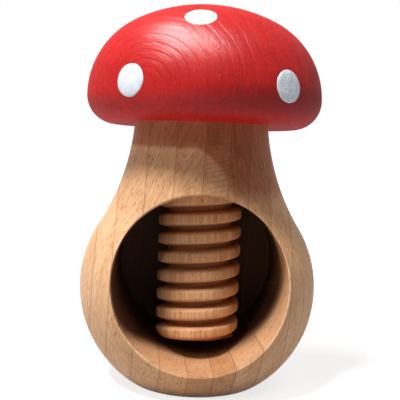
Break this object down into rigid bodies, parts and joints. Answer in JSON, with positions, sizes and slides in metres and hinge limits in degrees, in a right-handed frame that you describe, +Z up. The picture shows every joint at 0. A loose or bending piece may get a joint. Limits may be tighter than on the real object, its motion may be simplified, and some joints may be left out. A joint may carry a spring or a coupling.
{
  "type": "wooden screw nutcracker",
  "caption": "Mushroom-shaped wooden nutcracker: a turned, stave-glued stem with a round nut chamber, and a red cap that turns a threaded spindle down onto the nut.",
  "frame": {"origin": "centre of the round foot, on the stem's own turning axis", "axes": "+Z up along the stem, the nut chamber opens towards -Y, +X to the right seen from the front"},
  "size_m": [0.0803, 0.0789, 0.1263],
  "materials": {
    "beech_pale": "satin lacquer over turned beech",
    "beech_warm": "satin lacquer over turned beech",
    "beech_dark": "satin lacquer over turned beech",
    "spindle_beech": "thread cut in beech, bare",
    "dowel_beech": "bare beech",
    "red_stain": "red stain under gloss lacquer",
    "white_paint": "thick white paint"
  },
  "bodies": {
    "stem": {"stem_stave_01": "beech_warm", "stem_stave_02": "beech_pale", "stem_stave_03": "beech_pale", "stem_stave_04": "beech_warm", "stem_stave_05": "beech_pale", "stem_stave_05_front": "beech_pale", "stem_stave_06": "beech_dark", "stem_stave_06_front": "beech_dark", "stem_stave_07": "beech_warm", "stem_stave_08": "beech_pale", "stem_stave_09": "beech_warm", "stem_stave_10": "beech_dark"},
    "lift": {"centre_dowel": "dowel_beech"},
    "screw": {"cap": "red_stain", "spindle": "spindle_beech", "paint_dot_1": "white_paint", "paint_dot_2": "white_paint", "paint_dot_3": "white_paint", "paint_dot_4": "white_paint", "paint_dot_5": "white_paint", "paint_dot_6": "white_paint", "paint_dot_7": "white_paint", "paint_dot_8": "white_paint"}
  },
  "joints": [
    {"name": "screw_rise", "type": "slide", "parent": "stem", "child": "lift", "axis": [0.0105, 0.0576, 0.9983], "range_m": [0, 0.0501]},
    {"name": "cap_turn", "type": "hinge", "parent": "lift", "child": "screw", "pos_m": [0.0006, 0, 0.075], "axis": [0.0105, 0.0576, 0.9983], "range_deg": [0, 2880]}
  ],
  "couplings": [
    {"joint": "screw_rise", "follows": "cap_turn", "m_per_rad": 0.00099631}
  ]
}
